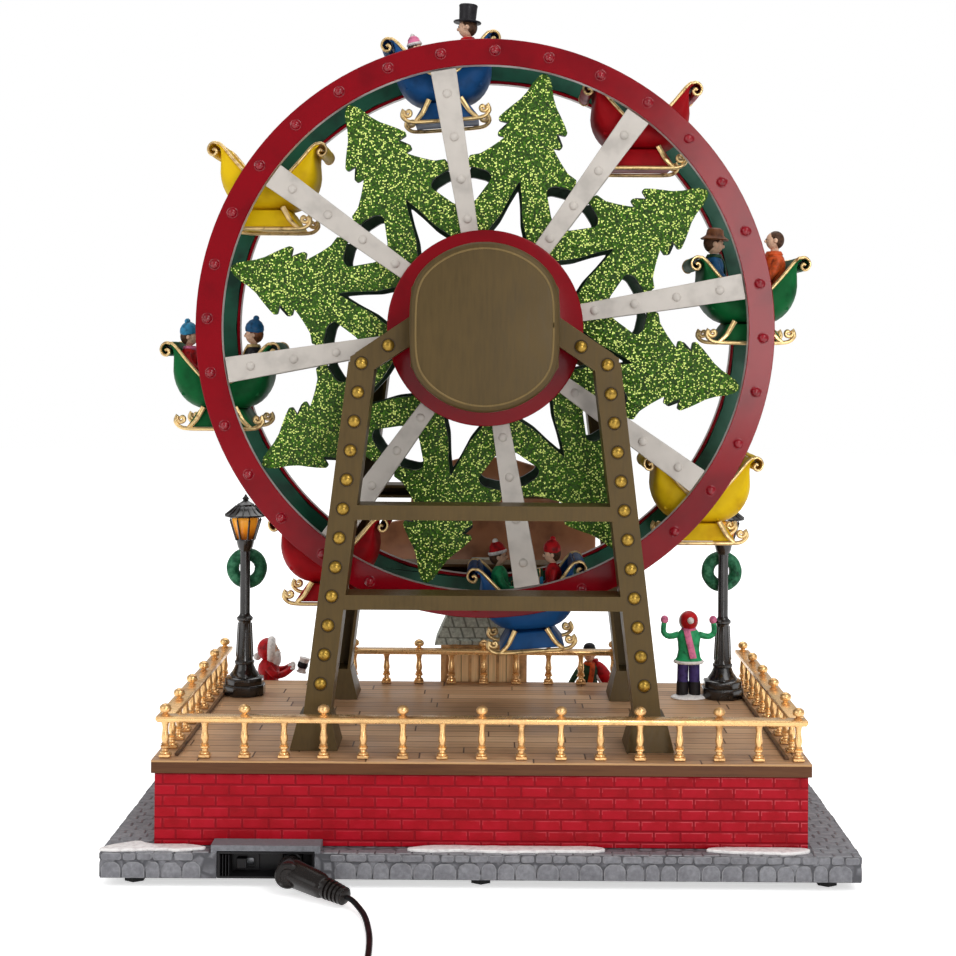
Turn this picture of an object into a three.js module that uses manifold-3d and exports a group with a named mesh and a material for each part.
// Lighted musical ferris wheel: a wheel with eight sleigh gondolas between two leg frames,
// on a railed wooden deck over a brick plinth and a cobbled base, with a small yard scene.
// Millimetres, +Z up, the motor side faces -Y, origin under the middle of the base.
import * as THREE from 'three';
import { mergeVertices } from 'three/addons/utils/BufferGeometryUtils.js';
import Module from 'manifold-3d';

const wasm = await Module();
wasm.setup();

// Clearances and the overrun of every cut
const seatGap = 0.3;
const boreGap = 0.3;
const cutOver = 2;

// Base slab, its bottom cover and feet
const footHeight = 4.3;
const footRadius = 5.5;
const footInset = 12;
const baseWidth = 376;
const baseDepth = 264;
const baseHeight = 12.5;
const baseWall = 3;
const baseRoof = 2.5;
const coverThickness = 2;

// Brick plinth and wooden deck, both set back towards the motor side
const plinthWidth = 327.4;
const yardDepth = 53.2;
const plinthHeight = 36;
const plinthWall = 3;
const plinthSetback = 11.9;
const deckOverhang = 1.6;
const deckThickness = 6.7;

// Railings round the deck
const railInset = 6;
const railHeight = 20.9;
const handrailWidth = 8.7;
const handrailThickness = 2.3;
const balusterRadius = 1.8;
const balusterFootRadius = 2.9;
const balusterFootHeight = 3.4;
const railBallRadius = 3.1;
const longRailSteps = 16;
const frontRailSteps = 8;
const shortRailSteps = 10;

// Wheel: widths are measured from its middle plane
const wheelOffset = -3.35;
const axleHeight = 217.4;
const spokeCount = 8;
const spokePhase = THREE.MathUtils.degToRad(9.6);
const wheelHalfWidthShare = 0.4987;
const ringOuterRadius = 155.2;
const ringFaceWidth = 14;
const ringDepth = 6.5;
const ringWall = 1.6;
const ringBoardThickness = 1.6;
const ringBossRadius = 3.4;
const ringSides = 40;
const spokeRecess = 0.5;
const spokeThickness = 3;
const spokeTipHalfWidth = 6.95;
const spokeRootHalfWidth = 4.55;
const spokeRootRadius = 47;
const treeThickness = 5.5;
const treeHalfWidthShare = 0.2107;
const treeRootRadius = 36;
const hubDiscRadius = 52.3;
const hubDiscThickness = 6.2;
const hubDrumRadius = 12;
const hubSides = 20;
const axleRadius = 3;

// Half of one tree, as shares of its half width and of its tip radius, skirt first
const treeEdgeShares = [
  [1, 0.618], [0.72, 0.662], [0.389, 0.771], [0.632, 0.786],
  [0.405, 0.85], [0.216, 0.937], [0.176, 0.978], [0.1, 1],
];
const treeCrotchShares = [[0, 0.584], [0.145, 0.485], [0.39, 0.348]];
const treeWindowShares = [[0.703, 0.463], [0.476, 0.584], [0.929, 0.594]];

// Gondola: a sleigh tub on a runner, measured from its pivot
const gondolaPivotInset = 8.7;
const gondolaPinRadius = 1.6;
const gondolaHalfWidthShare = 0.664;
const gondolaHalfLength = 31.4;
const gondolaDrop = 27;
const gondolaWall = 2;
const runnerDrop = 32.5;
const runnerHalfLength = 25;
const runnerThickness = 2.4;
const hangerHalfWidth = 4;

// Half of the tub's side, as shares of its half length and drop, from the bottom up
const tubEdgeShares = [
  [0.3, -1], [0.38, -0.79], [0.62, -0.77], [0.79, -0.44], [0.77, 0.28], [0.86, 0.43],
  [0.96, 0.26], [1, 0.4], [0.88, 0.58], [0.62, 0.26], [0.22, -0.21],
];
const tubHollowShares = [[0.25, -0.7], [0.25, -0.42], [0.71, -0.42], [0.7, 0.9]];
const tubSeatShare = -0.42;
const runnerEdgeShares = [
  [0.7, -1], [1, -0.87], [0.88, -0.7], [0.74, -0.76], [0.82, -0.84],
  [0.54, -0.91], [0.42, -0.66], [0.45, -0.91],
];

// Leg frames: widths from the wheel's middle plane, places from the axle
const frameHalfWidthShare = 0.372;
const frameDepth = 22;
const frameFaceWall = 2;
const frameSideWall = 1.6;
const legWidth = 13.6;
const legFootSpread = 87.2;
const legKneeSpread = 63.2;
const kneeDrop = 18.7;
const armWidth = 12.5;
const armEndSpread = 30;
const armEndRise = 3.7;
const crossbarHeight = 7.5;
const crossbarDrops = [95.5, 141.7];
const frameFootHeight = 17;
const frameFootWidth = 24.7;
const frameFootTopWidth = 16.4;
const frameFootOverhang = 6.8;
const hubPlateRadius = 43;
const hubPlateHalfWidth = 38;
const hubPlateThickness = 2;
const bearingRadius = 6;
const bearingRise = 1.7;

// Motor cover, drive gears and the geared motor inside it
const motorCoverDepth = 20.5;
const motorCoverWall = 2;
const frontCapRadius = 34;
const frontCapDepth = 9;
const gearModule = 1.2;
const gearTeeth = 40;
const pinionTeeth = 10;
const gearThickness = 5;
const gearMeshGap = 0.25;
const gearToothShares = { root: 0.27, tip: 0.12 };
const motorRadius = 10;
const motorFlangeThickness = 2;
const motorFlangeHalfWidth = 16;
const motorFlangeHalfHeight = 5.5;
const motorLegWidth = 4;
const motorGearGap = 1.5;
const motorBackGap = 0.8;
const pinionShaftRadius = 1.5;
const pinionShaftReach = 4.5;

// Street lamps on the deck
const lampSideInset = 21.7;
const lampSpread = plinthWidth / 2 - lampSideInset;
const lampInset = 39.8;
const lampBaseRadius = 12.4;
const lampHeight = 117;
const lampTopHeight = 27;
const lampPostRadius = 2.6;
const lanternTopRadius = 9.6;
const lanternBottomRadius = 6.6;
const lanternHeight = 13.6;
const lanternFloorHeight = lampHeight - lampTopHeight;
const lampRoofRadius = 12.6;
const lampBarRadius = 0.8;
const wreathRadius = 8.4;
const wreathTubeRadius = 3.8;
const wreathDrop = 15.8;
const wreathHeight = lanternFloorHeight - wreathDrop;

// Lamp post outline, as shares of its base radius and of the lantern's floor height
const lampPostShares = [
  [1, 0], [1, 0.09], [0.7, 0.14], [0.62, 0.2], [0.38, 0.27], [0.36, 0.46], [0.5, 0.49],
  [0.36, 0.52], [0.21, 0.55], [0.21, 0.93], [0.5, 0.98], [0.5, 1],
];

// Ticket booth and its marquee in the front yard
const boothWidth = 51;
const boothDepth = 34;
const boothHeight = 66;
const boothWall = 3;
const boothFrontInset = 14;
const boothWindowWidth = 26;
const boothWindowHeight = 24;
const boothWindowSill = 28;
const roofOverhang = 5;
const roofHeight = 48.6;
const roofTopWidth = 16;
const roofTopDepth = 8;
const signThickness = 5;
const signHalfWidth = 71;
const signTopHeight = 179.2;
const signBottomHeight = 44;

// Half of the marquee, as shares of its half width and of its top height, bottom first
const signEdgeShares = [
  [0.33, 0.245], [0.33, 0.59], [0.6, 0.615], [0.82, 0.6], [1, 0.65], [1, 0.72],
  [0.86, 0.765], [0.68, 0.78], [0.66, 0.9], [0.45, 0.97], [0.2, 1],
];

// Figures, placed from the plinth's front: two in the yard and a child on the deck
const santaSideInset = 52.4;
const santaPlace = [santaSideInset - baseWidth / 2, 21.2];
const santaHeight = 64.6;
const manPlace = [66.5, 21.2];
const manHeight = 63;
const childLegGap = 34.3;
const childPlace = [legFootSpread + childLegGap, -42.8];
const childHeight = 50;
const riderSpread = 14.5;
const riderTallHeight = 47.5;
const riderHeight = 43.5;
const riderShortHeight = 33;
const riderRugWidth = 10;
const riderRugHeight = 7;

// Robe outline of a standing figure, as shares of its height
const robeShares = [[0.15, 0], [0.15, 0.2], [0.155, 0.42], [0.14, 0.62], [0.06, 0.7]];
const riderShares = [[0.15, 0], [0.15, 0.5], [0.06, 0.7]];
const headRadiusShare = 0.095;
const headHeightShare = 0.76;
const hatHeightShare = 0.2;
const armLengthShare = 0.3;
const armRadiusShare = 0.045;

// Power inlet recess with the jack and the slide switch
const bayPlace = -106.3;
const bayWidth = 54.1;
const bayHeight = 16.4;
const bayBorder = 2.8;
const bayInsertWall = 1.2;
const bayBackWall = 2;
const jackPlace = -93.8;
const jackHeight = 10;
const jackWidth = 9;
const jackDepth = 14;
const jackTall = 7;
const jackLip = 0.8;
const barrelRadius = 2.4;
const barrelLength = 8.5;
const switchPlace = -117;
const switchTravel = 4;
const switchBodyWidth = 16;
const switchBodyHeight = 7;
const switchBodyDepth = 6;
const switchKnobSize = 5;
const switchKnobDepth = 3.5;
const switchShankSize = 2.4;
const switchPocketDepth = 1.5;

// Circuit board and speaker inside the plinth
const boardOffset = [-60, -39.35];
const boardWidth = 66;
const boardDepth = 44;
const boardThickness = 1.6;
const boardPostHeight = 5;
const boardPostRadius = 2.2;
const chipSize = 14;
const chipHeight = 2.5;
const speakerOffset = [60, -9.35];
const speakerRadius = 25;
const speakerFlange = 2.5;
const speakerDepth = 16;
const speakerMagnetRadius = 12;
const grilleSlots = 5;
const grilleSlotWidth = 3;

// Plug, lead and wall adapter; the route's points are chosen by hand
const cordRadius = 1.5;
const plugHeadRadius = 6;
const plugHeadDepth = 11;
const plugNoseRadius = 4;
const plugBodyLength = 27;
const plugBodyWidth = 11;
const plugNeckRadius = 3.4;
const plugRibs = 4;
const plugRibPitch = 3;
const plugHeadOffset = [-93.8, -5.8, 10];
const plugTailOffset = [-63.8, -29, 5];
const cordRouteOffsets = [
  [-63.57, -29.2, 4.96], [-60.6, -31.9, 4.3], [-57, -37.6, 2.7], [-54, -45.5, 1.8],
  [-51.6, -58, 1.6], [-49.6, -74, 1.6], [-48.6, -92, 1.6], [-48.4, -112, 1.6],
  [-48.4, -128, 1.6], [-48.4, -144, 1.6], [-48.4, -160, 1.6],
];
const cordSteps = 20;
const cordSides = 8;
const coilLayers = 4;
const coilLayerTurns = 2.75;
const coilClimbTurns = 0.5;
const coilLoopSteps = 12;
const coilSides = 5;
const coilPitch = 3.9;
const coilOuterRadius = 22.4;
const coilTail = 10;
const adapterWidth = 42;
const adapterLength = 62;
const adapterHeight = 30;
const adapterGlandRadius = 3.4;
const adapterGlandLength = 8;
const prongLength = 16;
const prongWidth = 6.3;
const prongThickness = 1.5;
const prongSpread = 6.35;

// Places that follow from the sizes
const baseBottom = footHeight;
const baseTop = baseBottom + baseHeight;
const plinthBottom = baseTop + seatGap;
const deckBottom = plinthBottom + plinthHeight + seatGap;
const deckTop = deckBottom + deckThickness;
const plinthRear = -baseDepth / 2 + plinthSetback;
const plinthDepth = baseDepth - plinthSetback - yardDepth;
const plinthFront = plinthRear + plinthDepth;
const deckMiddle = (plinthRear + plinthFront) / 2;
const deckWidth = plinthWidth + 2 * deckOverhang;
const deckDepth = plinthDepth + 2 * deckOverhang;
const axleZ = deckTop + axleHeight;
const wheelDepthPlace = deckMiddle + wheelOffset;
const lampDepthPlace = plinthFront - lampInset;
const frameHalfWidth = plinthDepth * frameHalfWidthShare;
const wheelHalfWidth = frameHalfWidth * wheelHalfWidthShare;
const gondolaHalfWidth = wheelHalfWidth * gondolaHalfWidthShare;
const ringInnerRadius = ringOuterRadius - ringFaceWidth;
const gondolaPivotRadius = ringOuterRadius - gondolaPivotInset;
const spokeOuter = wheelHalfWidth - spokeRecess;
const spokeInner = spokeOuter - spokeThickness;
const treeOuter = spokeInner - seatGap;
const treeInner = treeOuter - treeThickness;
const treeTipRadius = ringInnerRadius * Math.cos(Math.PI / ringSides) - seatGap;
const treeHalfWidth = treeTipRadius * treeHalfWidthShare;
const ringInner = wheelHalfWidth - ringDepth;
const hubDiscInner = spokeOuter + seatGap;
const hubDiscOuter = hubDiscInner + hubDiscThickness;
const gearFace = frameHalfWidth + bearingRise + seatGap;
const gearBack = gearFace + gearThickness;
const gearPitchRadius = (gearModule * gearTeeth) / 2;
const pinionPitchRadius = (gearModule * pinionTeeth) / 2;
const gearDistance = gearPitchRadius + pinionPitchRadius + gearMeshGap;
const coverBack = frameHalfWidth + seatGap + motorCoverDepth;
const boothFront = baseDepth / 2 - boothFrontInset;
const boothMiddle = boothFront - boothDepth / 2;
const bayDepth = plinthSetback - seatGap;
const baseRear = -baseDepth / 2;
const insertBack = baseRear + bayDepth - bayBackWall;
const boardPlace = [boardOffset[0], deckMiddle + boardOffset[1]];
const speakerPlace = [speakerOffset[0], deckMiddle + speakerOffset[1]];
const fromRear = ([x, y, z]) => new THREE.Vector3(x, baseRear + y, z);
const plugHeadPlace = fromRear(plugHeadOffset);
const plugTailPlace = fromRear(plugTailOffset);
const cordRoute = cordRouteOffsets.map(fromRear);

// Turns a three.js geometry into a solid, dropping faces that have no area
function solid(geometry) {
  const bare = geometry.clone();
  bare.deleteAttribute('normal');
  bare.deleteAttribute('uv');
  const merged = mergeVertices(bare);
  const source = merged.index.array;
  const place = merged.attributes.position;
  const corners = [0, 1, 2].map(() => new THREE.Vector3());
  const faces = [];
  let volume = 0;
  for (let i = 0; i < source.length; i += 3) {
    const [a, b, c] = [source[i], source[i + 1], source[i + 2]];
    if (a === b || b === c || c === a) continue;
    faces.push([a, b, c]);
    [a, b, c].forEach((corner, k) => corners[k].fromBufferAttribute(place, corner));
    volume += corners[0].dot(corners[1].cross(corners[2]));
  }
  const triVerts = new Uint32Array(faces.map((f) => (volume < 0 ? [f[0], f[2], f[1]] : f)).flat());
  return new wasm.Manifold(new wasm.Mesh({
    numProp: 3, vertProperties: new Float32Array(place.array), triVerts,
  }));
}

function geometryOf(body) {
  const mesh = body.getMesh();
  const geometry = new THREE.BufferGeometry();
  const places = new Float32Array((mesh.vertProperties.length / mesh.numProp) * 3);
  for (let i = 0; i < places.length / 3; i += 1) {
    for (let k = 0; k < 3; k += 1) places[3 * i + k] = mesh.vertProperties[mesh.numProp * i + k];
  }
  geometry.setAttribute('position', new THREE.BufferAttribute(places, 3));
  geometry.setIndex(new THREE.BufferAttribute(new Uint32Array(mesh.triVerts), 1));
  return geometry;
}

const join = (...geometries) => geometryOf(geometries.map(solid).reduce((a, b) => a.add(b)));
const cut = (geometry, ...tools) => geometryOf(
  tools.map(solid).reduce((left, tool) => left.subtract(tool), solid(geometry)),
);
const moved = (geometry, x, y, z) => geometry.translate(x, y, z);

function block(width, depth, height, x, y, bottom) {
  return new THREE.BoxGeometry(width, depth, height).translate(x, y, bottom + height / 2);
}

// A block whose top is wider or narrower than its bottom
function taperedBlock(bottomWidth, bottomDepth, topWidth, topDepth, height, x, y, bottom) {
  const geometry = new THREE.BoxGeometry(1, 1, 1);
  const place = geometry.attributes.position;
  for (let i = 0; i < place.count; i += 1) {
    const atTop = place.getZ(i) > 0;
    place.setXYZ(
      i,
      place.getX(i) * (atTop ? topWidth : bottomWidth),
      place.getY(i) * (atTop ? topDepth : bottomDepth),
      (atTop ? height : 0),
    );
  }
  return geometry.translate(x, y, bottom);
}

// Turned round Y: the profile holds radius and depth
function turnedY(profile, sides) {
  return new THREE.LatheGeometry(profile.map(([r, y]) => new THREE.Vector2(r, y)), sides);
}

// Turned round Z: the profile holds radius and height
const turnedZ = (profile, sides) => turnedY(profile, sides).rotateX(Math.PI / 2);

// A flat outline in X and Z, carried along Y from one depth to another
function plateAlongY(shape, fromY, toY, curveSegments = 1) {
  const geometry = new THREE.ExtrudeGeometry(shape, {
    depth: toY - fromY, bevelEnabled: false, curveSegments,
  });
  return geometry.rotateX(Math.PI / 2).translate(0, toY, 0);
}

// A flat outline in X and Y, carried up from one height
function plateUp(shape, bottom, thickness, curveSegments = 1) {
  return new THREE.ExtrudeGeometry(shape, { depth: thickness, bevelEnabled: false, curveSegments })
    .translate(0, 0, bottom);
}

const shapeOf = (points) => new THREE.Shape(points.map(([x, y]) => new THREE.Vector2(x, y)));
const polar = (angle, radius) => [radius * Math.cos(angle), radius * Math.sin(angle)];

// Mirrors half an outline across its middle line
function mirrored(points) {
  return [...points, ...points.map(([x, z]) => [-x, z]).reverse()];
}

function cylinderAlongY(radius, fromY, toY, x, z, sides) {
  return new THREE.CylinderGeometry(radius, radius, toY - fromY, sides).translate(x, (fromY + toY) / 2, z);
}

function cylinderUp(radius, bottom, height, x, y, sides) {
  return new THREE.CylinderGeometry(radius, radius, height, sides)
    .rotateX(Math.PI / 2).translate(x, y, bottom + height / 2);
}

// Finishes, as colour, roughness and metalness
const finishes = {
  stone: [0x73757d, 0.85, 0], rubber: [0x1a1a1a, 0.9, 0], plastic: [0x17171a, 0.55, 0],
  brick: [0xb21228, 0.7, 0], wood: [0x9b7d62, 0.7, 0], gold: [0xcda05f, 0.35, 0.8],
  ringRed: [0xa51428, 0.35, 0], spokeWhite: [0xcdc6c2, 0.5, 0], treeGreen: [0x3c6e19, 0.6, 0.1],
  boardGreen: [0x14503c, 0.5, 0], bronze: [0x5c5136, 0.4, 0.5], steel: [0xb4b4b8, 0.3, 0.9],
  brass: [0xb08d3c, 0.35, 0.8], nylon: [0xe6e2d6, 0.5, 0],
  black: [0x19161a, 0.4, 0.3], amber: [0xeb961e, 0.2, 0],
  leaf: [0x1e5a3c, 0.8, 0], tan: [0xc39b6e, 0.7, 0], shingle: [0x6e7369, 0.8, 0],
  signBrown: [0x96694b, 0.3, 0], coatRed: [0xb01020, 0.5, 0], coatGreen: [0x1d4a2c, 0.5, 0],
  coatBlue: [0x1b4a6b, 0.5, 0], coatDark: [0x24301f, 0.5, 0], sleighBlue: [0x0f3773, 0.3, 0],
  sleighRed: [0xa00a14, 0.3, 0], sleighGreen: [0x145a28, 0.3, 0], sleighYellow: [0xe1be14, 0.3, 0],
};
const materials = Object.fromEntries(Object.entries(finishes).map(([name, [color, roughness, metalness]]) => [
  name, new THREE.MeshStandardMaterial({ color, roughness, metalness }),
]));

const toy = new THREE.Group();

function add(name, geometry, finish, parent = toy) {
  const mesh = new THREE.Mesh(geometry, materials[finish]);
  mesh.name = name;
  parent.add(mesh);
  return mesh;
}

// Base slab: a shell open below, notched at the rear for the inlet recess inside a raised border
function basePlate() {
  const outer = block(baseWidth, baseDepth, baseHeight, 0, 0, baseBottom);
  const hollow = block(
    baseWidth - 2 * baseWall, baseDepth - 2 * baseWall, baseHeight - baseRoof + cutOver,
    0, 0, baseBottom - cutOver,
  );
  const border = block(bayWidth, bayDepth, bayHeight, bayPlace, baseRear + bayDepth / 2, baseBottom);
  const recess = block(
    bayWidth - 2 * bayBorder, bayDepth + 2 * cutOver, bayHeight - bayBorder + cutOver,
    bayPlace, baseRear + bayDepth / 2, baseBottom - cutOver,
  );
  const soundHole = cylinderUp(
    speakerRadius - speakerFlange * 2, baseTop - baseRoof - cutOver, baseRoof + 2 * cutOver,
    ...speakerPlace, 12,
  );
  return cut(join(cut(outer, hollow), border), recess, soundHole);
}

// Bottom cover inside the slab, with feet and the speaker's slots
function bottomCover() {
  const halfX = baseWidth / 2 - baseWall - seatGap;
  const halfY = baseDepth / 2 - baseWall - seatGap;
  const notchLeft = bayPlace - bayWidth / 2 - seatGap;
  const notchRight = bayPlace + bayWidth / 2 + seatGap;
  const notchFront = baseRear + bayDepth + seatGap;
  const outline = shapeOf([
    [-halfX, -halfY], [notchLeft, -halfY], [notchLeft, notchFront], [notchRight, notchFront],
    [notchRight, -halfY], [halfX, -halfY], [halfX, halfY], [-halfX, halfY],
  ]);
  for (let i = 0; i < grilleSlots; i += 1) {
    const y = speakerPlace[1] + (i - (grilleSlots - 1) / 2) * 2 * grilleSlotWidth;
    const reach = speakerRadius * 0.6;
    outline.holes.push(shapeOf([
      [speakerPlace[0] - reach, y - grilleSlotWidth / 2], [speakerPlace[0] + reach, y - grilleSlotWidth / 2],
      [speakerPlace[0] + reach, y + grilleSlotWidth / 2], [speakerPlace[0] - reach, y + grilleSlotWidth / 2],
    ]));
  }
  const plate = plateUp(outline, baseBottom, coverThickness);
  const feet = [];
  for (const x of [-1, 0, 1]) {
    for (const y of [-1, 1]) {
      feet.push(cylinderUp(
        footRadius, 0, footHeight + coverThickness / 2,
        x * (baseWidth / 2 - footInset - baseWall), y * (baseDepth / 2 - footInset), 6,
      ));
    }
  }
  return join(plate, ...feet);
}

// Brick plinth: four walls and a roof under the deck
function brickPlinth() {
  const outer = block(plinthWidth, plinthDepth, plinthHeight, 0, deckMiddle, plinthBottom);
  const hollow = block(
    plinthWidth - 2 * plinthWall, plinthDepth - 2 * plinthWall, plinthHeight - plinthWall + cutOver,
    0, deckMiddle, plinthBottom - cutOver,
  );
  return cut(outer, hollow);
}

// One turned baluster standing on the deck
function baluster(x, y) {
  const top = railHeight - handrailThickness / 2;
  return turnedZ([
    [0, 0], [balusterFootRadius, 0], [balusterRadius, balusterFootHeight], [balusterRadius, top], [0, top],
  ], 4).translate(x, y, deckTop + seatGap);
}

// A railing of evenly spaced balusters, with a ball on every second one
function railing(from, to, steps, first, railFrom, railTo) {
  const pieces = [];
  for (let i = first; i <= steps; i += 1) {
    const x = from[0] + ((to[0] - from[0]) * i) / steps;
    const y = from[1] + ((to[1] - from[1]) * i) / steps;
    pieces.push(baluster(x, y));
    if (i % 2 === 0) {
      pieces.push(new THREE.SphereGeometry(railBallRadius, 5, 3).rotateX(Math.PI / 2)
        .translate(x, y, deckTop + railHeight + railBallRadius * 0.8));
    }
  }
  const alongX = Math.abs(to[0] - from[0]) > Math.abs(to[1] - from[1]);
  const length = alongX ? railTo - railFrom : handrailWidth;
  const width = alongX ? handrailWidth : railTo - railFrom;
  const middle = (railFrom + railTo) / 2;
  pieces.push(block(
    length, width, handrailThickness, alongX ? middle : from[0], alongX ? from[1] : middle,
    deckTop + seatGap + railHeight - handrailThickness,
  ));
  return join(...pieces);
}

// Rails along the motor side and both ends; the front rail stands only before the booth
function addRailings() {
  const x = deckWidth / 2 - railInset;
  const frontX = (x * frontRailSteps) / longRailSteps;
  const rear = deckMiddle - deckDepth / 2 + railInset;
  const front = deckMiddle + deckDepth / 2 - railInset;
  const reach = x + handrailWidth / 2;
  const frontReach = frontX + railBallRadius;
  add('rail_rear', railing([-x, rear], [x, rear], longRailSteps, 0, -reach, reach), 'gold');
  add('rail_front', railing([-frontX, front], [frontX, front], frontRailSteps, 0, -frontReach, frontReach),
    'gold');
  const shortFrom = rear + handrailWidth / 2 + seatGap;
  const shortTo = front + handrailWidth / 2;
  add('rail_left', railing([-x, rear], [-x, front], shortRailSteps, 1, shortFrom, shortTo), 'gold');
  add('rail_right', railing([x, rear], [x, front], shortRailSteps, 1, shortFrom, shortTo), 'gold');
}

// A straight beam in X and Z between two points, carried along Y
function beam(from, to, width, fromY, toY) {
  const along = new THREE.Vector2(to[0] - from[0], to[1] - from[1]).normalize();
  const side = new THREE.Vector2(-along.y, along.x).multiplyScalar(width / 2);
  return plateAlongY(shapeOf([
    [from[0] - side.x, from[1] - side.y], [to[0] - side.x, to[1] - side.y],
    [to[0] + side.x, to[1] + side.y], [from[0] + side.x, from[1] + side.y],
  ]), fromY, toY);
}

// A round plate with two flat sides, in X and Z
function flattedRound(radius, halfWidth) {
  const turn = Math.acos(halfWidth / radius);
  const shape = new THREE.Shape();
  shape.absarc(0, 0, radius, turn, Math.PI - turn);
  shape.absarc(0, 0, radius, Math.PI + turn, 2 * Math.PI - turn);
  return shape;
}

// The motor side's leg frame, around the axle: channel legs, arms and bars, hub plate and feet
function legFrame() {
  const face = -frameHalfWidth;
  const open = face + frameDepth;
  const ground = deckTop + seatGap - axleZ;
  const spreadRate = (legFootSpread - legKneeSpread) / (ground + kneeDrop);
  const spreadAt = (z) => legKneeSpread + spreadRate * (z + kneeDrop);
  const beams = (inset, fromY, toY) => {
    const set = [];
    for (const side of [-1, 1]) {
      const knee = [side * legKneeSpread, -kneeDrop];
      const start = ground + frameFootHeight / 2;
      set.push(beam([side * spreadAt(start), start], knee, legWidth - 2 * inset, fromY, toY));
      set.push(beam(knee, [side * armEndSpread, armEndRise], armWidth - 2 * inset, fromY, toY));
      set.push(cylinderAlongY(legWidth / 2 - inset, fromY, toY, ...knee, 6));
    }
    for (const drop of crossbarDrops) {
      const reach = spreadAt(-drop);
      set.push(beam([-reach, -drop], [reach, -drop], crossbarHeight - 2 * inset, fromY, toY));
    }
    return join(...set);
  };
  const channels = cut(beams(0, face, open), beams(frameSideWall, face + frameFaceWall, open + cutOver));
  const plateBack = face + hubPlateThickness;
  const plate = plateAlongY(flattedRound(hubPlateRadius, hubPlateHalfWidth), face, plateBack, 6);
  const bearing = cylinderAlongY(bearingRadius, face - bearingRise, plateBack + bearingRise, 0, 0, 12);
  const feet = [-1, 1].map((side) => taperedBlock(
    frameFootWidth, frameDepth + 2 * frameFootOverhang * 0.5, frameFootTopWidth, frameDepth,
    frameFootHeight, side * spreadAt(ground + frameFootHeight / 2), face + frameDepth / 2, ground,
  ));
  const bore = cylinderAlongY(axleRadius + boreGap, face - frameDepth, open, 0, 0, 12);
  return cut(join(channels, plate, bearing, ...feet), bore);
}

// A cover over the hub plate, hollow towards it
function roundCover(shape, hollow, depth, wall) {
  const seat = -frameHalfWidth - seatGap;
  return cut(
    plateAlongY(shape, seat - depth, seat, 6),
    plateAlongY(hollow, seat - depth + wall, seat + cutOver, 6),
  );
}

// A spur gear turned round Y, with straight sided teeth; turn moves its teeth round
function gearOutline(teeth, turn) {
  const pitchRadius = (gearModule * teeth) / 2;
  const step = (2 * Math.PI) / teeth;
  const points = [];
  for (let i = 0; i < teeth; i += 1) {
    const middle = turn + i * step;
    points.push(polar(middle - gearToothShares.root * step, pitchRadius - gearModule * 1.15));
    points.push(polar(middle - gearToothShares.tip * step, pitchRadius + gearModule * 0.9));
    points.push(polar(middle + gearToothShares.tip * step, pitchRadius + gearModule * 0.9));
    points.push(polar(middle + gearToothShares.root * step, pitchRadius - gearModule * 1.15));
  }
  return shapeOf(points);
}

function circleHole(radius, x, z) {
  const hole = new THREE.Path();
  hole.absarc(x, z, radius, 0, 2 * Math.PI);
  return hole;
}

function driveGear() {
  const outline = gearOutline(gearTeeth, -Math.PI / 2);
  outline.holes.push(circleHole(axleRadius + boreGap, 0, 0));
  return plateAlongY(outline, -gearBack, -gearFace, 6);
}

// Pinion and its short shaft, round its own axis
function motorPinion() {
  const outline = gearOutline(pinionTeeth, Math.PI / 2 + Math.PI / pinionTeeth);
  const shaftEnd = -gearBack - motorGearGap - pinionShaftReach;
  const shaft = cylinderAlongY(pinionShaftRadius, shaftEnd, -gearFace, 0, 0, 8);
  return join(plateAlongY(outline, -gearBack, -gearFace), shaft);
}

// Geared motor: a can on a flange with two legs down to the hub plate
function gearMotor() {
  const front = -gearBack - motorGearGap;
  const back = -coverBack + motorCoverWall + motorBackGap;
  const seat = -frameHalfWidth - seatGap;
  const can = cylinderAlongY(motorRadius, back, front, 0, -gearDistance, 16);
  const flange = plateAlongY(shapeOf([
    [-motorFlangeHalfWidth, -gearDistance - motorFlangeHalfHeight],
    [motorFlangeHalfWidth, -gearDistance - motorFlangeHalfHeight],
    [motorFlangeHalfWidth, -gearDistance + motorFlangeHalfHeight],
    [-motorFlangeHalfWidth, -gearDistance + motorFlangeHalfHeight],
  ]), front - motorFlangeThickness, front);
  const legs = [-1, 1].map((side) => new THREE.BoxGeometry(
    motorLegWidth, seat - front + motorFlangeThickness, 2 * motorFlangeHalfHeight,
  ).translate(
    side * (motorFlangeHalfWidth - motorLegWidth / 2),
    (seat + front - motorFlangeThickness) / 2, -gearDistance,
  ));
  const bore = cylinderAlongY(
    pinionShaftRadius + boreGap, front - pinionShaftReach - seatGap, front + cutOver, 0, -gearDistance, 8,
  );
  return cut(join(can, flange, ...legs), bore);
}

// One side's ring: a channel open to the middle, with a bored boss for every gondola pin
function wheelRing() {
  const outer = -wheelHalfWidth;
  const inner = -ringInner;
  const floor = outer + ringWall;
  const channel = turnedY([
    [ringInnerRadius, outer], [ringOuterRadius, outer], [ringOuterRadius, inner],
    [ringOuterRadius - ringWall, inner], [ringOuterRadius - ringWall, floor],
    [ringInnerRadius + ringWall, floor], [ringInnerRadius + ringWall, inner],
    [ringInnerRadius, inner], [ringInnerRadius, outer],
  ], ringSides);
  const bossEnd = floor + 2 * ringWall;
  const bosses = [];
  const bores = [];
  for (let i = 0; i < spokeCount; i += 1) {
    const [x, z] = polar(spokePhase + (i * 2 * Math.PI) / spokeCount, gondolaPivotRadius);
    bosses.push(cylinderAlongY(ringBossRadius, floor - ringWall / 2, bossEnd, x, z, 6));
    bores.push(cylinderAlongY(gondolaPinRadius + boreGap, floor - ringWall / 2, bossEnd + cutOver, x, z, 6));
  }
  return cut(join(channel, ...bosses), ...bores);
}

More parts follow.
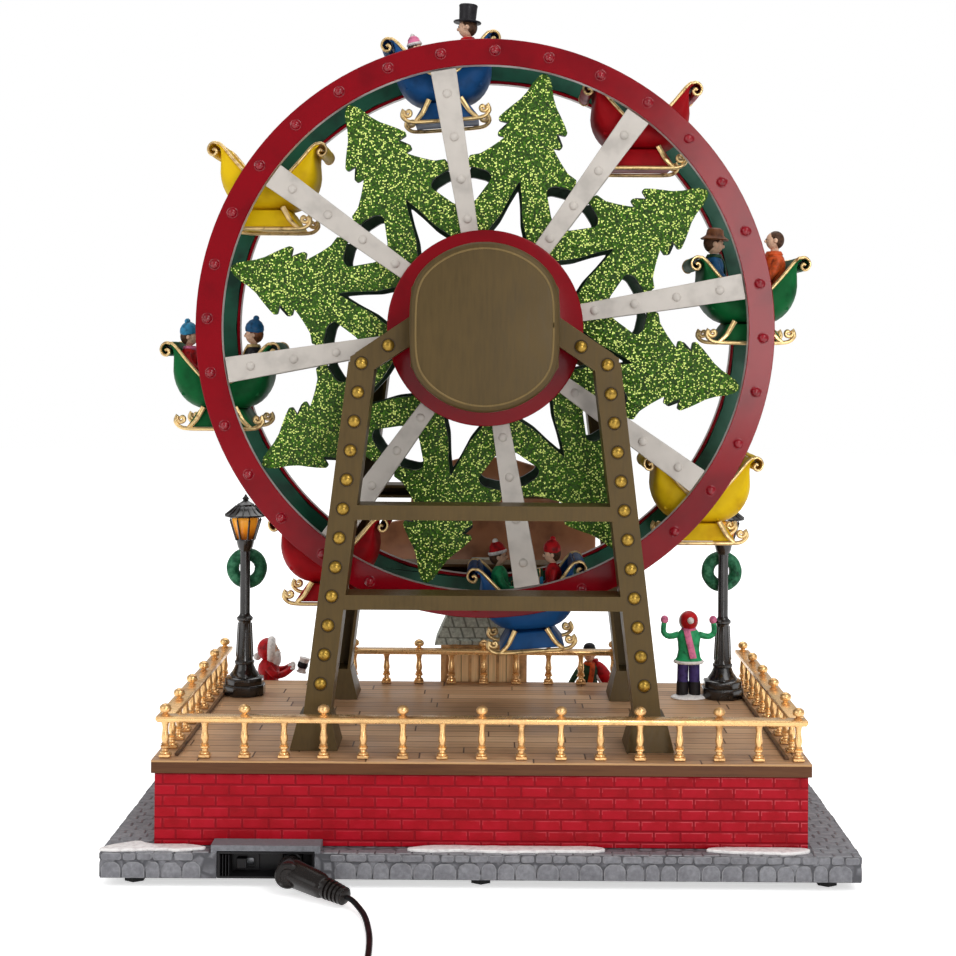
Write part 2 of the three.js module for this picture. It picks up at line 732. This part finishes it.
// The light board inside a ring, resting on the bosses, with a hole round each pin
function ringBoard() {
  const shape = new THREE.Shape();
  shape.absarc(0, 0, ringOuterRadius - ringWall - 2 * seatGap, 0, 2 * Math.PI);
  shape.holes.push(circleHole(ringInnerRadius + ringWall + 2 * seatGap, 0, 0));
  for (let i = 0; i < spokeCount; i += 1) {
    const [x, z] = polar(spokePhase + (i * 2 * Math.PI) / spokeCount, gondolaPivotRadius);
    const size = (gondolaPinRadius + boreGap) * Math.SQRT2;
    shape.holes.push(shapeOf([[x - size, z], [x, z - size], [x + size, z], [x, z + size]]));
  }
  const seat = -wheelHalfWidth + 3 * ringWall + seatGap;
  return plateAlongY(shape, seat, seat + ringBoardThickness, ringSides / 2);
}

// Eight tapering spokes joined under the hub disc
function spokeStar() {
  const points = [];
  for (let i = 0; i < spokeCount; i += 1) {
    const angle = spokePhase + (i * 2 * Math.PI) / spokeCount;
    const rootTurn = Math.asin(spokeRootHalfWidth / spokeRootRadius);
    const tipTurn = Math.asin(spokeTipHalfWidth / treeTipRadius);
    points.push(polar(angle - rootTurn, spokeRootRadius), polar(angle - tipTurn, treeTipRadius));
    points.push(polar(angle + tipTurn, treeTipRadius), polar(angle + rootTurn, spokeRootRadius));
  }
  const shape = shapeOf(points);
  shape.holes.push(circleHole(hubDrumRadius + seatGap, 0, 0));
  return plateAlongY(shape, -spokeOuter, -spokeInner, hubSides / 2);
}

// Eight fir trees between the spokes, in one plate
function treeRing() {
  const step = (2 * Math.PI) / spokeCount;
  const place = (index, side, [lateral, radial]) => {
    const angle = spokePhase + (index + 0.5) * step;
    const [x, z] = polar(angle, radial * treeTipRadius);
    const [across, up] = polar(angle + Math.PI / 2, side * lateral * treeHalfWidth);
    return [x + across, z + up];
  };
  const outline = [];
  const holes = [];
  for (let i = 0; i < spokeCount; i += 1) {
    outline.push(...treeEdgeShares.map((share) => place(i, -1, share)));
    outline.push(...treeEdgeShares.map((share) => place(i, 1, share)).reverse());
    holes.push([
      ...treeCrotchShares.map((share) => place(i, 1, share)),
      ...treeCrotchShares.slice(1).map((share) => place(i, -1, share)).reverse(),
    ]);
    holes.push([
      ...treeWindowShares.map((share) => place(i, 1, share)),
      ...treeWindowShares.map((share) => place(i + 1, -1, share)).reverse(),
    ]);
  }
  const shape = shapeOf(outline);
  holes.forEach((hole) => shape.holes.push(shapeOf(hole)));
  shape.holes.push(circleHole(treeRootRadius, 0, 0));
  return plateAlongY(shape, -treeOuter, -treeInner, 8);
}

// Hub: a drum with a wide disc at each end, bored for the axle
function wheelHub() {
  return turnedY([
    [axleRadius + boreGap, -hubDiscOuter], [hubDiscRadius, -hubDiscOuter], [hubDiscRadius, -hubDiscInner],
    [hubDrumRadius, -hubDiscInner], [hubDrumRadius, hubDiscInner], [hubDiscRadius, hubDiscInner],
    [hubDiscRadius, hubDiscOuter], [axleRadius + boreGap, hubDiscOuter],
    [axleRadius + boreGap, -hubDiscOuter],
  ], hubSides);
}

const sized = (shares, width, height) => shares.map(([x, z]) => [x * width, z * height]);

// Gondola round its pivot: hollow tub with curled ends and a seat at each end, runners and pins
function gondola() {
  const tub = plateAlongY(
    shapeOf(mirrored(sized(tubEdgeShares, gondolaHalfLength, gondolaDrop))),
    -gondolaHalfWidth, gondolaHalfWidth,
  );
  const innerWidth = gondolaHalfWidth - gondolaWall;
  const hollow = plateAlongY(
    shapeOf(mirrored(sized(tubHollowShares, gondolaHalfLength, gondolaDrop))), -innerWidth, innerWidth,
  );
  const seat = tubSeatShare * gondolaDrop;
  const runner = shapeOf(mirrored(sized(runnerEdgeShares, runnerHalfLength, runnerDrop)));
  const runnerOut = gondolaHalfWidth - gondolaWall - runnerThickness / 2;
  const runners = [-1, 1].map((side) => plateAlongY(
    runner, side * runnerOut - runnerThickness / 2, side * runnerOut + runnerThickness / 2,
  ));
  const pinEnd = wheelHalfWidth - ringWall / 2 - seatGap;
  const pins = [-1, 1].map((side) => cylinderAlongY(
    gondolaPinRadius, Math.min(side * innerWidth, side * pinEnd),
    Math.max(side * innerWidth, side * pinEnd), 0, 0, 5,
  ));
  const wallMiddle = (side) => side * (innerWidth + gondolaWall / 2);
  const hangers = [-1, 1].map((side) => plateAlongY(shapeOf([
    [-hangerHalfWidth, seat], [hangerHalfWidth, seat], [0, 2 * gondolaPinRadius],
  ]), wallMiddle(side) - gondolaWall / 2, wallMiddle(side) + gondolaWall / 2));
  return join(cut(tub, hollow), ...hangers, ...runners, ...pins);
}

// A standing or seated figure: robe, head, hat and two arms
function figure(height, shares, armTurns, armLength, brim, sides) {
  const neck = height * shares[shares.length - 1][1];
  const robe = turnedZ([[0, 0], ...sized(shares, height, height), [0, neck]], sides);
  const headZ = height * headHeightShare;
  const head = new THREE.SphereGeometry(height * headRadiusShare, sides, 4)
    .rotateX(Math.PI / 2).translate(0, 0, headZ);
  const hatTop = brim ? height * headRadiusShare * 0.8 : height * headRadiusShare * 0.25;
  const hat = turnedZ([
    [0, 0], [height * headRadiusShare * (brim ? 1.5 : 1.15), 0],
    [height * headRadiusShare * (brim ? 0.9 : 1), height * hatHeightShare * 0.2],
    [hatTop, height * hatHeightShare], [0, height * hatHeightShare],
  ], sides).translate(0, 0, headZ + height * headRadiusShare * 0.35);
  const shoulder = height * shares[shares.length - 2][1];
  const arms = armTurns.map((turn, i) => new THREE.CylinderGeometry(
    height * armRadiusShare, height * armRadiusShare * 1.3, height * armLength, 5,
  ).translate(0, (height * armLength) / 2, 0).rotateX(turn[0]).rotateZ(turn[1])
    .translate((i ? 1 : -1) * height * shares[shares.length - 2][0] * 0.8, 0, shoulder * 0.94));
  return join(robe, head, hat, ...arms);
}

// Two riders facing each other from the end seats, joined by a lap rug
function riderPair(leftHeight, rightHeight) {
  const riders = [[-1, leftHeight], [1, rightHeight]].map(([side, height]) => figure(
    height, riderShares, [], armLengthShare, height === riderTallHeight, 5,
  ).translate(side * riderSpread, 0, 0));
  return join(...riders, block(2 * riderSpread, riderRugWidth, riderRugHeight, 0, 0, seatGap));
}

// Street lamp: turned post, four corner bars round the light, roof and finial
function streetLamp() {
  const floorTop = lanternFloorHeight;
  const roofSeat = floorTop + lanternHeight + 2 * seatGap;
  const post = turnedZ([
    [0, 0], ...sized(lampPostShares, lampBaseRadius, lanternFloorHeight), [0, lanternFloorHeight],
  ], 8);
  const roof = turnedZ([
    [0, 0], [lampRoofRadius, 0], [lampRoofRadius * 0.55, (lampHeight - roofSeat) * 0.4],
    [lampRoofRadius * 0.16, (lampHeight - roofSeat) * 0.62], [lampRoofRadius * 0.16, lampHeight - roofSeat],
    [0, lampHeight - roofSeat],
  ], 8).translate(0, 0, roofSeat);
  const bars = [];
  for (let i = 0; i < 4; i += 1) {
    const angle = Math.PI / 4 + (i * Math.PI) / 2;
    const [x, y] = polar(angle, lanternTopRadius + lampBarRadius + seatGap);
    bars.push(cylinderUp(
      lampBarRadius, floorTop - lampBarRadius, roofSeat - floorTop + 2 * lampBarRadius, x, y, 4,
    ));
  }
  const floor = cylinderUp(
    lanternTopRadius + 2 * lampBarRadius + seatGap, floorTop - 2 * lampBarRadius, 2 * lampBarRadius, 0, 0, 8,
  );
  return join(post, floor, roof, ...bars);
}

function lanternGlass() {
  return turnedZ([
    [0, 0], [lanternBottomRadius, 0], [lanternTopRadius, lanternHeight * 0.85],
    [lanternTopRadius * 0.9, lanternHeight], [0, lanternHeight],
  ], 8).translate(0, 0, lanternFloorHeight + seatGap);
}

// Booth: four walls and a floor, with a serving window in its front
function boothBody() {
  const bottom = baseTop + seatGap;
  const outer = block(boothWidth, boothDepth, boothHeight, 0, boothMiddle, bottom);
  const hollow = block(
    boothWidth - 2 * boothWall, boothDepth - 2 * boothWall, boothHeight, 0, boothMiddle, bottom + boothWall,
  );
  const window = block(
    boothWindowWidth, boothWall + 2 * cutOver, boothWindowHeight, 0, boothFront - boothWall / 2,
    bottom + boothWindowSill,
  );
  return cut(outer, hollow, window);
}

function boothRoof() {
  return taperedBlock(
    boothWidth + 2 * roofOverhang, boothDepth + roofOverhang, roofTopWidth, roofTopDepth, roofHeight,
    0, boothMiddle - roofOverhang / 2, baseTop + 2 * seatGap + boothHeight,
  );
}

// Marquee board on the booth's front, cut away round the serving window
function signBoard() {
  const shape = shapeOf(mirrored(sized(signEdgeShares, signHalfWidth, signTopHeight)));
  const bottom = boothFront + seatGap;
  const opening = new THREE.BoxGeometry(
    boothWindowWidth, 3 * signThickness, boothWindowHeight + signBottomHeight / 2,
  ).translate(0, bottom, boothWindowSill + boothWindowHeight / 2);
  return moved(cut(plateAlongY(shape, bottom, bottom + signThickness), opening), 0, 0, baseTop + seatGap);
}

// Black insert in the recess, with openings for the jack and the switch
function jackBay() {
  const width = bayWidth - 2 * bayBorder - 2 * seatGap;
  const height = bayHeight - bayBorder - seatGap;
  const shell = block(width, bayDepth, height, bayPlace, baseRear + bayDepth / 2, baseBottom);
  const hollow = block(
    width - 2 * bayInsertWall, bayDepth, height - 2 * bayInsertWall,
    bayPlace, insertBack - bayDepth / 2, baseBottom + bayInsertWall,
  );
  const jackHole = new THREE.BoxGeometry(jackWidth + 2 * seatGap, 3 * bayBackWall, jackTall + 2 * seatGap)
    .translate(jackPlace, insertBack + bayBackWall / 2, jackHeight);
  const switchHole = new THREE.BoxGeometry(
    switchTravel + switchShankSize + 2 * seatGap, 3 * bayBackWall, switchShankSize + 2 * seatGap,
  ).translate(switchPlace, insertBack + bayBackWall / 2, jackHeight);
  return cut(shell, hollow, jackHole, switchHole);
}

// Power jack through the insert's back wall, bored for the plug
function dcJack() {
  const front = insertBack - jackLip;
  const body = new THREE.BoxGeometry(jackWidth, jackDepth, jackTall)
    .translate(jackPlace, front + jackDepth / 2, jackHeight);
  const bore = cylinderAlongY(
    barrelRadius + boreGap, front - cutOver, front + barrelLength, jackPlace, jackHeight, 10,
  );
  return cut(body, bore);
}

function switchBody() {
  const front = insertBack + bayBackWall + seatGap;
  const body = new THREE.BoxGeometry(switchBodyWidth, switchBodyDepth, switchBodyHeight)
    .translate(switchPlace, front + switchBodyDepth / 2, jackHeight);
  const pocket = new THREE.BoxGeometry(
    switchTravel + switchShankSize + 2 * seatGap, 2 * switchPocketDepth, switchShankSize + 2 * seatGap,
  ).translate(switchPlace, front, jackHeight);
  return cut(body, pocket);
}

// Knob at the left end of its travel
function switchKnob() {
  const x = switchPlace - switchTravel / 2;
  const face = insertBack - seatGap;
  const knob = new THREE.BoxGeometry(switchKnobSize, switchKnobDepth, switchKnobSize)
    .translate(x, face - switchKnobDepth / 2, jackHeight);
  const reach = seatGap + bayBackWall + seatGap + switchPocketDepth - seatGap;
  const shank = new THREE.BoxGeometry(switchShankSize, reach + switchKnobDepth / 2, switchShankSize)
    .translate(x, face + (reach - switchKnobDepth / 2) / 2, jackHeight);
  return join(knob, shank);
}

function circuitBoard() {
  const bottom = baseTop + seatGap;
  const pieces = [block(boardWidth, boardDepth, boardThickness, ...boardPlace, bottom + boardPostHeight)];
  for (const x of [-1, 1]) {
    for (const y of [-1, 1]) {
      pieces.push(cylinderUp(
        boardPostRadius, bottom, boardPostHeight + boardThickness / 2,
        boardPlace[0] + x * (boardWidth / 2 - 2 * boardPostRadius),
        boardPlace[1] + y * (boardDepth / 2 - 2 * boardPostRadius), 6,
      ));
    }
  }
  pieces.push(block(
    chipSize, chipSize, chipHeight + boardThickness / 2, ...boardPlace,
    bottom + boardPostHeight + boardThickness / 2,
  ));
  return join(...pieces);
}

// Speaker facing down over the sound hole
function speaker() {
  return turnedZ([
    [0, 0], [speakerRadius, 0], [speakerRadius, speakerFlange], [speakerMagnetRadius, speakerDepth * 0.6],
    [speakerMagnetRadius, speakerDepth], [0, speakerDepth],
  ], 16).translate(...speakerPlace, baseTop + seatGap);
}

// Plug with its barrel in the jack, a slanting body and a ribbed strain relief
function dcPlug() {
  const barrelStart = plugHeadPlace.y + plugHeadDepth / 2;
  const head = cylinderAlongY(
    plugHeadRadius, plugHeadPlace.y - plugHeadDepth / 2, barrelStart, plugHeadPlace.x, plugHeadPlace.z, 12,
  );
  const jackFace = insertBack - jackLip;
  const nose = cylinderAlongY(
    plugNoseRadius, barrelStart - plugHeadRadius / 2, jackFace - seatGap, plugHeadPlace.x, plugHeadPlace.z, 8,
  );
  const barrel = cylinderAlongY(
    barrelRadius, barrelStart, jackFace + barrelLength - seatGap, plugHeadPlace.x, plugHeadPlace.z, 6,
  );
  const along = plugTailPlace.clone().sub(plugHeadPlace);
  const reliefLength = plugRibs * plugRibPitch;
  const total = along.length();
  const plugRootRadius = plugNeckRadius * 0.72;
  const profile = [];
  for (let i = 0; i < plugRibs; i += 1) {
    const start = total - reliefLength + i * plugRibPitch;
    profile.push([plugNeckRadius, start], [plugNeckRadius, start + plugRibPitch * 0.55]);
    profile.push([plugRootRadius, start + plugRibPitch * 0.6], [plugRootRadius, start + plugRibPitch * 0.95]);
  }
  const relief = turnedY([
    [0, plugBodyLength * 0.8], [plugNeckRadius, plugBodyLength * 0.8], ...profile,
    [plugRootRadius, total], [0, total],
  ], 6);
  const grip = taperedBlock(
    plugBodyWidth, plugHeadDepth, plugBodyWidth * 0.8, plugHeadDepth * 0.75, plugBodyLength, 0, 0, 0,
  ).rotateX(-Math.PI / 2);
  const turn = new THREE.Quaternion();
  turn.setFromUnitVectors(new THREE.Vector3(0, 1, 0), along.clone().normalize());
  const tail = join(relief, grip).applyQuaternion(turn).translate(...plugHeadPlace.toArray());
  return join(head, nose, barrel, tail);
}

// The lead from the plug's strain relief to the coil
function cordStretch() {
  const path = new THREE.CatmullRomCurve3(cordRoute);
  const section = new THREE.Shape();
  section.absarc(0, 0, cordRadius, 0, 2 * Math.PI);
  return new THREE.ExtrudeGeometry(section, {
    steps: cordSteps, extrudePath: path, bevelEnabled: false, curveSegments: cordSides / 2,
  });
}

// Centre line of the coil: in on the floor, up a layer in half a turn, and out again on top
function coilCentreLine() {
  const start = cordRoute[cordRoute.length - 1].clone();
  start.y -= seatGap;
  const endSpread = coilClimbTurns / 2;
  const centre = start.clone().setX(start.x - coilOuterRadius - coilPitch * endSpread);
  centre.y -= 2 * cordRadius;
  const points = [start];
  for (let i = 0; i <= coilLayers * coilLayerTurns * coilLoopSteps; i += 1) {
    const turns = i / coilLoopSteps;
    const layer = turns / coilLayerTurns;
    const reversal = THREE.MathUtils.clamp(Math.round(layer), 1, coilLayers - 1);
    const climbed = (turns - reversal * coilLayerTurns) / coilClimbTurns + 0.5;
    const level = reversal - 1 + THREE.MathUtils.clamp(climbed, 0, 1);
    const inward = Math.abs(((layer + 1) % 2) - 1) * coilLayerTurns - endSpread;
    const least = layer < 0.5 || layer > coilLayers - 0.5 ? -endSpread : 0;
    const radius = coilOuterRadius
      - coilPitch * THREE.MathUtils.clamp(inward, least, coilLayerTurns - coilClimbTurns);
    const angle = -turns * 2 * Math.PI;
    points.push(new THREE.Vector3(
      centre.x + radius * Math.cos(angle), centre.y + radius * Math.sin(angle), start.z + level * coilPitch,
    ));
  }
  const last = points[points.length - 1];
  points.push(last.clone().setY(last.y - coilTail));
  return points;
}

// A round tube along a line of points, closed at both ends
function tube(points, radius, sides) {
  const places = [];
  const faces = [];
  const up = new THREE.Vector3(0, 0, 1);
  points.forEach((point, i) => {
    const before = points[Math.max(i - 1, 0)];
    const after = points[Math.min(i + 1, points.length - 1)];
    const along = after.clone().sub(before).normalize();
    const side = along.clone().cross(up).normalize();
    const rise = side.clone().cross(along);
    for (let k = 0; k < sides; k += 1) {
      const angle = (k * 2 * Math.PI) / sides;
      places.push(...point.clone().addScaledVector(side, radius * Math.cos(angle))
        .addScaledVector(rise, radius * Math.sin(angle)).toArray());
      if (i === 0) continue;
      const [a, b] = [i * sides + k, i * sides + ((k + 1) % sides)];
      faces.push(a, b - sides, a - sides, a, b, b - sides);
    }
  });
  const end = (points.length - 1) * sides;
  for (let k = 1; k < sides - 1; k += 1) faces.push(0, k, k + 1, end, end + k + 1, end + k);
  const geometry = new THREE.BufferGeometry();
  geometry.setAttribute('position', new THREE.Float32BufferAttribute(places, 3));
  geometry.setIndex(faces);
  return geometry;
}

// Least gap of the coil to itself, on its points, past its near neighbours
function leastGap(points, radius) {
  let least = Infinity;
  for (let i = 0; i < points.length; i += 1) {
    for (let k = i + coilLoopSteps / 2; k < points.length; k += 1) {
      least = Math.min(least, points[i].distanceTo(points[k]) - 2 * radius);
    }
  }
  return least;
}

// Wall adapter lying on its side, with a gland towards the coil and two prongs
function adapter(gland) {
  const face = gland.y - seatGap - adapterGlandLength;
  const left = gland.x - adapterGlandRadius;
  const body = block(
    adapterWidth, adapterLength, adapterHeight,
    left + adapterWidth / 2, face - adapterLength / 2, seatGap / 2,
  );
  const relief = cylinderAlongY(
    adapterGlandRadius, face - adapterGlandLength / 2, face + adapterGlandLength, gland.x, gland.z, 8,
  );
  const prongMiddle = face - adapterLength - (prongLength - cutOver) / 2;
  const prongs = [-1, 1].map((side) => {
    const prong = new THREE.BoxGeometry(prongThickness, prongLength + cutOver, prongWidth);
    return prong.translate(left + adapterWidth / 2 + side * prongSpread, prongMiddle, adapterHeight / 2);
  });
  return join(body, relief, ...prongs);
}

add('base_plate', basePlate(), 'stone');
add('bottom_cover', bottomCover(), 'plastic');
add('brick_plinth', brickPlinth(), 'brick');
add('deck', block(deckWidth, deckDepth, deckThickness, 0, deckMiddle, deckBottom), 'wood');
addRailings();

// Everything round the axle stands in one group on it
const axleGroup = new THREE.Group();
axleGroup.position.set(0, wheelDepthPlace, axleZ);
toy.add(axleGroup);
const frontSide = new THREE.Matrix4().makeScale(1, -1, 1);
const toFront = (geometry) => join(geometry.applyMatrix4(frontSide));

add('frame_rear', legFrame(), 'bronze', axleGroup);
add('frame_front', toFront(legFrame()), 'bronze', axleGroup);
add('motor_cover', roundCover(
  flattedRound(hubPlateRadius, hubPlateHalfWidth),
  flattedRound(hubPlateRadius - motorCoverWall, hubPlateHalfWidth - motorCoverWall),
  motorCoverDepth, motorCoverWall,
), 'bronze', axleGroup);
add('front_cap', toFront(roundCover(
  flattedRound(frontCapRadius, frontCapRadius), flattedRound(
    frontCapRadius - motorCoverWall, frontCapRadius - motorCoverWall,
  ), frontCapDepth, motorCoverWall,
)), 'bronze', axleGroup);
add('gear_motor', gearMotor(), 'steel', axleGroup);
add('motor_pinion', moved(motorPinion(), 0, 0, -gearDistance), 'brass', axleGroup);
add('drive_gear', driveGear(), 'nylon', axleGroup);
const axleRear = -gearBack - seatGap;
const axleFront = frameHalfWidth + bearingRise + seatGap;
add('axle', cylinderAlongY(axleRadius, axleRear, axleFront, 0, 0, 12), 'steel', axleGroup);
add('wheel_hub', wheelHub(), 'ringRed', axleGroup);
add('ring_rear', wheelRing(), 'ringRed', axleGroup);
add('ring_front', toFront(wheelRing()), 'ringRed', axleGroup);
add('light_board_rear', ringBoard(), 'boardGreen', axleGroup);
add('light_board_front', toFront(ringBoard()), 'boardGreen', axleGroup);
add('spokes_rear', spokeStar(), 'spokeWhite', axleGroup);
add('spokes_front', toFront(spokeStar()), 'spokeWhite', axleGroup);
add('trees_rear', treeRing(), 'treeGreen', axleGroup);
add('trees_front', toFront(treeRing()), 'treeGreen', axleGroup);

// Gondolas, counted from the one at the right and up over the top
const sleighFinishes = [
  'sleighGreen', 'sleighRed', 'sleighBlue', 'sleighYellow',
  'sleighGreen', 'sleighRed', 'sleighBlue', 'sleighYellow',
];
const riders = {
  0: ['coatBlue', riderHeight, riderHeight], 2: ['coatDark', riderShortHeight, riderTallHeight],
  4: ['coatRed', riderHeight, riderHeight], 6: ['coatGreen', riderHeight, riderHeight],
};
sleighFinishes.forEach((finish, i) => {
  const [x, z] = polar(spokePhase + (i * 2 * Math.PI) / spokeCount, gondolaPivotRadius);
  const pivot = new THREE.Group();
  pivot.position.set(x, 0, z);
  axleGroup.add(pivot);
  add(`gondola_${i + 1}`, gondola(), finish, pivot);
  if (riders[i] === undefined) return;
  const [coat, ...heights] = riders[i];
  const pair = riderPair(...heights).translate(0, 0, tubSeatShare * gondolaDrop + seatGap);
  add(`riders_${i + 1}`, pair, coat, pivot);
});

for (const [side, name] of [[-1, 'left'], [1, 'right']]) {
  const lamp = new THREE.Group();
  lamp.position.set(side * lampSpread, lampDepthPlace, deckTop + seatGap);
  toy.add(lamp);
  add(`lamp_${name}`, streetLamp(), 'black', lamp);
  add(`lantern_${name}`, lanternGlass(), 'amber', lamp);
  const wreathY = lampPostRadius + seatGap + wreathTubeRadius;
  add(`wreath_${name}`, new THREE.TorusGeometry(wreathRadius, wreathTubeRadius, 5, 10).rotateX(Math.PI / 2)
    .translate(0, wreathY, wreathHeight), 'leaf', lamp);
}

add('booth_body', boothBody(), 'tan');
add('booth_roof', boothRoof(), 'shingle');
add('sign_board', signBoard(), 'signBrown');
add('santa', figure(santaHeight, robeShares, [[1.9, 0.6], [1.2, -1.2]], armLengthShare, false, 6)
  .translate(santaPlace[0], plinthFront + santaPlace[1], baseTop + seatGap), 'coatRed');
add('man', figure(manHeight, robeShares, [[2.2, 1.2], [2.6, -0.4]], armLengthShare, true, 6)
  .translate(manPlace[0], plinthFront + manPlace[1], baseTop + seatGap), 'coatGreen');
add('child', figure(childHeight, robeShares, [[1, 1.5], [1, -1.5]], armLengthShare, false, 6)
  .translate(childPlace[0], plinthFront + childPlace[1], deckTop + seatGap), 'coatGreen');

add('jack_bay', jackBay(), 'plastic');
add('dc_jack', dcJack(), 'plastic');
add('switch_body', switchBody(), 'steel');
add('switch_knob', switchKnob(), 'plastic');
add('circuit_board', circuitBoard(), 'boardGreen');
add('speaker', speaker(), 'black');

const coilPoints = coilCentreLine();
console.log(`least gap of the coil to itself: ${leastGap(coilPoints, cordRadius).toFixed(2)} mm`);
add('dc_plug', dcPlug(), 'plastic');
add('cord', cordStretch(), 'plastic');
add('cord_coil', join(tube(coilPoints, cordRadius, coilSides)), 'plastic');
add('adapter', adapter(coilPoints[coilPoints.length - 1]), 'plastic');

export default toy;
